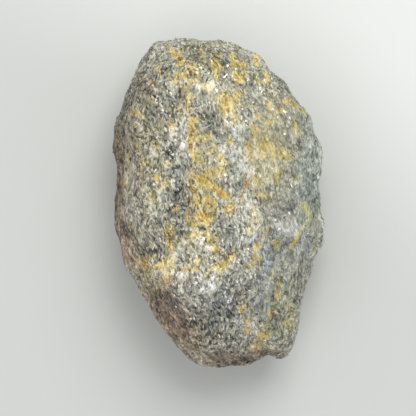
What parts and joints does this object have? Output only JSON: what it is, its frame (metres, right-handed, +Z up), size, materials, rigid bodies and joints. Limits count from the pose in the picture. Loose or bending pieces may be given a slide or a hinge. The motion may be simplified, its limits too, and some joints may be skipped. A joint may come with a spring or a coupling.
{
  "type": "rough emerald",
  "caption": "Rough mineral specimen: an oval lump of grey mica schist, stained ochre, with broken ledges and a flat patch to rest on.",
  "frame": {"origin": "on the surface that the stone rests on, under the middle of its bounding box", "axes": "+Z up through the stone's thickness, +Y along its length towards the broad end, +X to the right when the broad end points away"},
  "size_m": [0.0382, 0.0594, 0.025],
  "materials": {
    "mica_schist": "matte"
  },
  "bodies": {
    "root": {"rough_stone": "mica_schist"}
  },
  "joints": []
}
